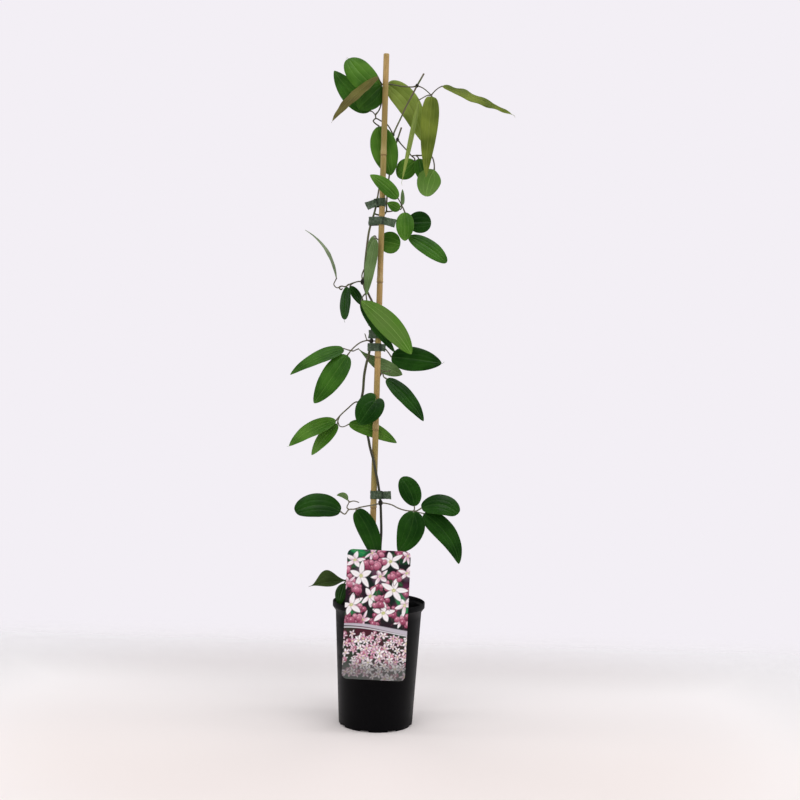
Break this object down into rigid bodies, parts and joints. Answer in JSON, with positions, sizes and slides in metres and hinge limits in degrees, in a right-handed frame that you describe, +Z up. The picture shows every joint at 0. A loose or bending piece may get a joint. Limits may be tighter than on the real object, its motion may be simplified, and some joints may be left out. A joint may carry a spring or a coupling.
{
  "type": "young potted evergreen clematis on a bamboo cane",
  "caption": "Young evergreen clematis in a black nursery pot, tied to a bamboo cane with green tape, with a picture label hung over the rim.",
  "frame": {"origin": "middle of the pot's underside, on the surface that the pot stands on", "axes": "+Z up along the cane; the picture label hangs on the -Y side, and +X is to the right of someone looking at the label"},
  "size_m": [0.2885, 0.1252, 0.902],
  "materials": {
    "pot": "satin",
    "soil": "matte",
    "cane": "satin",
    "stem": "satin",
    "label": "gloss",
    "tape": "satin",
    "old_leaf": "satin",
    "young_leaf": "satin"
  },
  "bodies": {
    "root": {"nursery_pot": "pot", "potting_soil": "soil", "bamboo_cane": "cane", "clematis_stem": "stem", "picture_label": "label", "tape_tie_low": "tape", "tape_tie_bunch_low": "tape", "tape_tie_bunch_high": "tape", "tape_tie_high": "tape", "tape_tie_top": "tape", "leaflet_foot_1": "old_leaf", "leaflet_foot_2": "old_leaf", "leaflet_low_left_1": "old_leaf", "leaflet_low_left_2": "old_leaf", "leaflet_low_left_3": "old_leaf", "leaflet_low_right_1": "old_leaf", "leaflet_low_right_2": "old_leaf", "leaflet_low_right_3": "old_leaf", "leaflet_low_right_4": "old_leaf", "leaflet_middle_left_1": "old_leaf", "leaflet_middle_left_2": "old_leaf", "leaflet_middle_left_3": "old_leaf", "leaflet_middle_front_1": "old_leaf", "leaflet_middle_right_1": "old_leaf", "leaflet_bunch_left_1": "old_leaf", "leaflet_bunch_left_2": "old_leaf", "leaflet_bunch_left_3": "old_leaf", "leaflet_bunch_right_1": "old_leaf", "leaflet_front_1": "young_leaf", "leaflet_front_2": "young_leaf", "leaflet_knot_left_1": "young_leaf", "leaflet_knot_left_2": "young_leaf", "leaflet_knot_left_3": "young_leaf", "leaflet_knot_right_1": "young_leaf", "leaflet_knot_right_2": "young_leaf", "leaflet_knot_right_3": "young_leaf", "leaflet_shoot_low_1": "young_leaf", "leaflet_shoot_low_2": "young_leaf", "leaflet_shoot_low_3": "young_leaf", "leaflet_shoot_high_1": "young_leaf", "leaflet_shoot_high_2": "young_leaf", "leaflet_shoot_high_3": "young_leaf", "leaflet_shoulder_left_1": "young_leaf", "leaflet_shoulder_left_2": "young_leaf", "leaflet_shoulder_left_3": "young_leaf", "leaflet_shoulder_right_1": "young_leaf", "leaflet_shoulder_right_2": "young_leaf", "leaflet_shoulder_right_3": "young_leaf", "leaflet_crown_left_1": "young_leaf", "leaflet_crown_left_2": "young_leaf", "leaflet_crown_left_3": "young_leaf", "leaflet_crown_right_1": "young_leaf", "leaflet_crown_right_2": "young_leaf", "leaflet_crown_right_3": "young_leaf"}
  },
  "joints": []
}
